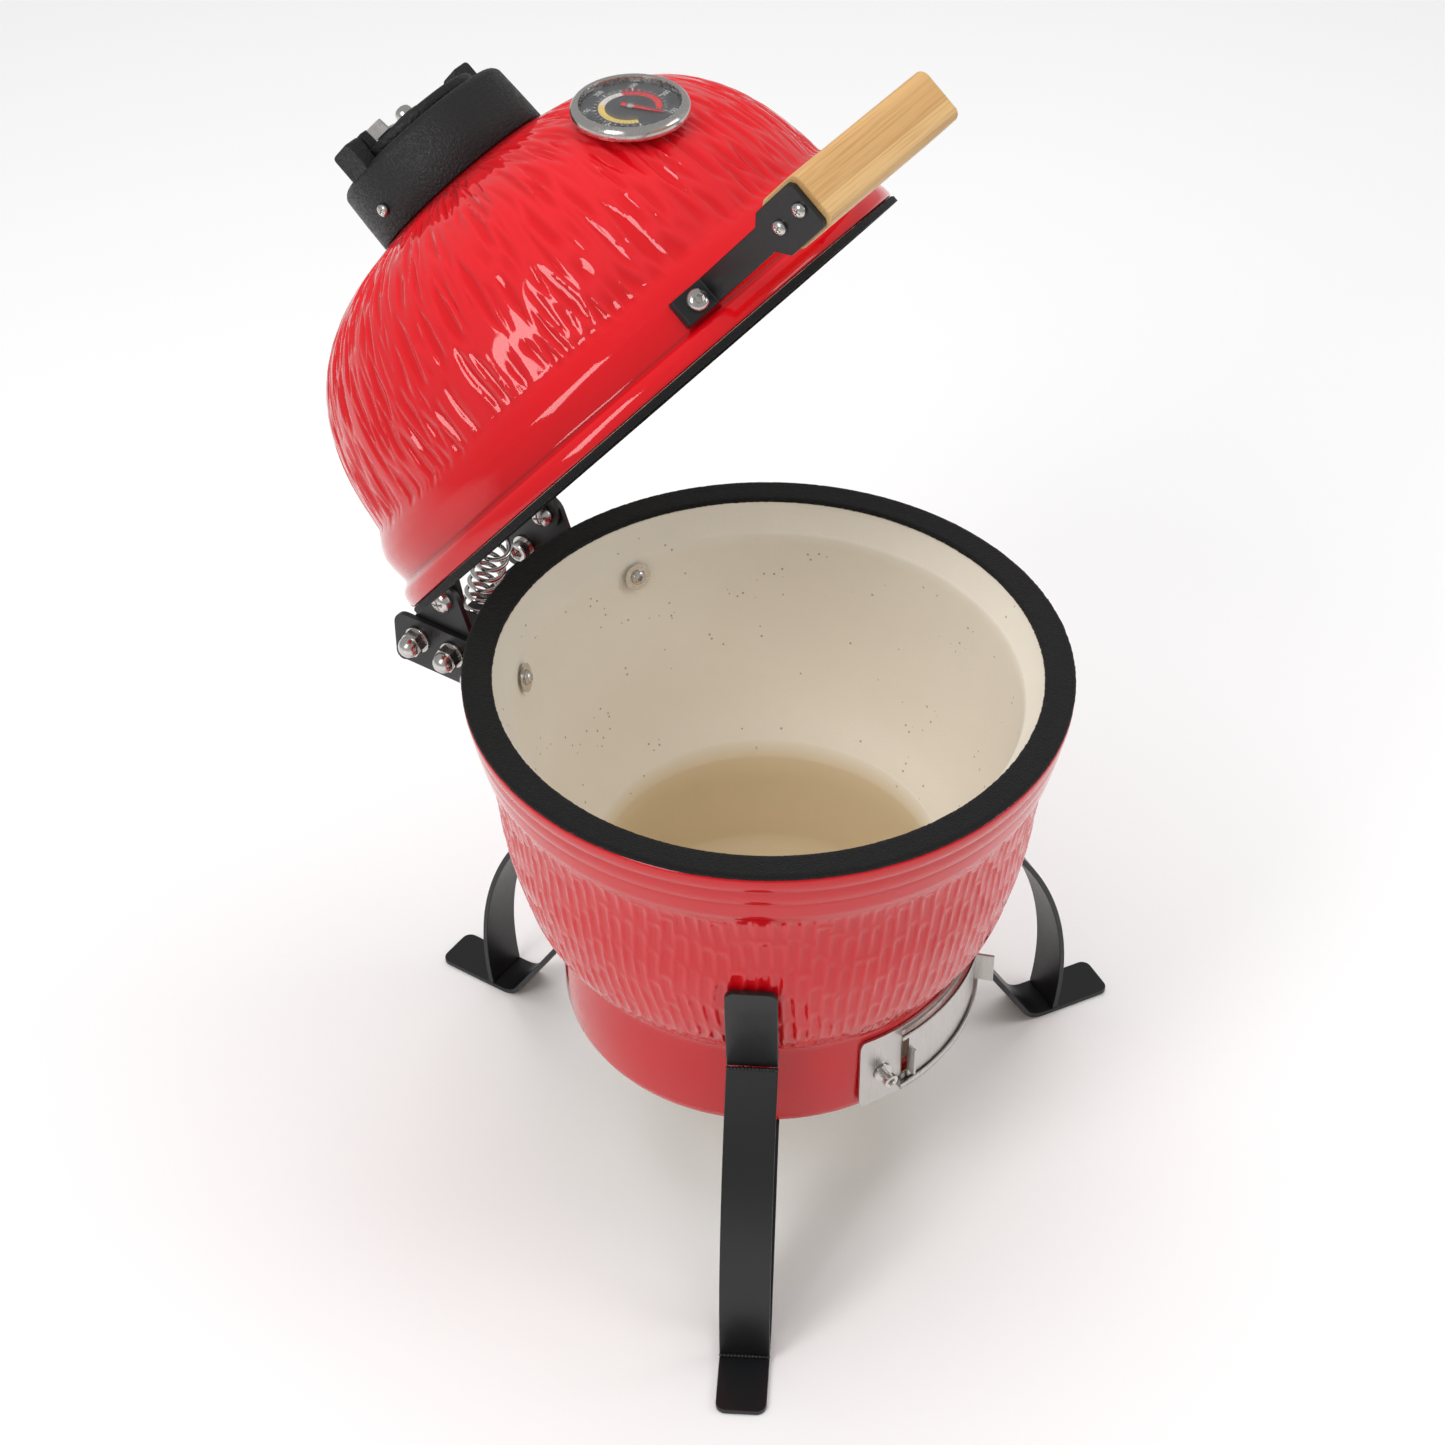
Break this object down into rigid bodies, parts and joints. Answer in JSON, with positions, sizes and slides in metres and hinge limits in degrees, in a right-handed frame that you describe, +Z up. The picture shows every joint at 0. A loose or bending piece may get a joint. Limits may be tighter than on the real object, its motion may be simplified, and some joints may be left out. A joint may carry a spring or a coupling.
{
  "type": "ceramic kettle charcoal grill",
  "caption": "Small egg-shaped ceramic charcoal grill with a hinged domed lid, chimney vent, thermometer, wooden handle, draft door and three-legged strap stand, lid open.",
  "frame": {"origin": "on the floor under the middle of the whole grill as it stands with the lid open", "axes": "+Z up, -Y towards the front (draft door, thermometer and handle), lid hinge at +Y, hinge axis along X"},
  "size_m": [0.5216, 0.511, 0.8594],
  "materials": {
    "red_glaze": "gloss glaze",
    "felt": "matt",
    "cast_iron": "fine textured black",
    "black_steel": "satin black powder coat",
    "stainless": "brushed",
    "bamboo": "satin",
    "dial_face": "matt",
    "needle_red": "matt",
    "clear_glass": "clear"
  },
  "bodies": {
    "base": {"base_bracket_left": "black_steel", "base_bracket_right": "black_steel", "bowl": "red_glaze", "bowl_bolt_left": "stainless", "bowl_bolt_right": "stainless", "bowl_gasket": "felt", "dome_nut_left_1": "stainless", "dome_nut_left_2": "stainless", "dome_nut_right_1": "stainless", "dome_nut_right_2": "stainless", "draft_door_bolt_left": "stainless", "draft_door_bolt_right": "stainless", "draft_door_frame": "stainless", "foot_strap_back": "black_steel", "foot_strap_front_left": "black_steel", "foot_strap_front_right": "black_steel", "hinge_spring": "stainless", "hinge_yoke": "black_steel", "leg_hook_back": "black_steel", "leg_hook_front_left": "black_steel", "leg_hook_front_right": "black_steel", "leg_strap_back": "black_steel", "leg_strap_front_left": "black_steel", "leg_strap_front_right": "black_steel", "pivot_screw_left": "stainless", "pivot_screw_right": "stainless", "stand_hub": "black_steel", "yoke_bolt_left_1": "stainless", "yoke_bolt_left_2": "stainless", "yoke_bolt_right_1": "stainless", "yoke_bolt_right_2": "stainless"},
    "lid": {"bracket_bolt_left": "stainless", "bracket_bolt_right": "stainless", "bracket_nut_left": "stainless", "bracket_nut_right": "stainless", "handle_bar": "bamboo", "handle_bracket_left": "black_steel", "handle_bracket_right": "black_steel", "handle_screw_left_1": "stainless", "handle_screw_left_2": "stainless", "handle_screw_right_1": "stainless", "handle_screw_right_2": "stainless", "lid": "red_glaze", "lid_gasket": "felt", "lid_hinge_bolt_left": "stainless", "lid_hinge_bolt_right": "stainless", "lid_hinge_bracket": "black_steel", "thermometer_case": "stainless", "thermometer_dial": "dial_face", "thermometer_lens": "clear_glass", "thermometer_nut": "stainless", "thermometer_stem": "stainless", "vent_cap": "cast_iron", "vent_pivot_screw": "stainless", "vent_set_screw": "stainless"},
    "vent": {"vent_disc": "cast_iron", "vent_lever": "stainless"},
    "needle": {"thermometer_needle": "needle_red"},
    "draft_panel": {"draft_door_panel": "stainless"}
  },
  "joints": [
    {"name": "lid_hinge", "type": "hinge", "parent": "base", "child": "lid", "pos_m": [0, 0.1745, 0.423], "axis": [1, 0, 0], "range_deg": [0, 51.4], "deforming": ["hinge_spring"]},
    {"name": "vent_disc_turn", "type": "hinge", "parent": "lid", "child": "vent", "pos_m": [0, 0.21778, 0.74545], "axis": [0, 0.7815, 0.6239], "range_deg": [0, 30]},
    {"name": "needle_turn", "type": "hinge", "parent": "lid", "child": "needle", "pos_m": [0, 0.05192, 0.81138], "axis": [0, 0.0419, 0.9991], "range_deg": [-270, 0]},
    {"name": "draft_door_slide", "type": "hinge", "parent": "base", "child": "draft_panel", "pos_m": [0, -0.0505, 0.17], "axis": [0, 0, 1], "range_deg": [-2, 15]}
  ]
}
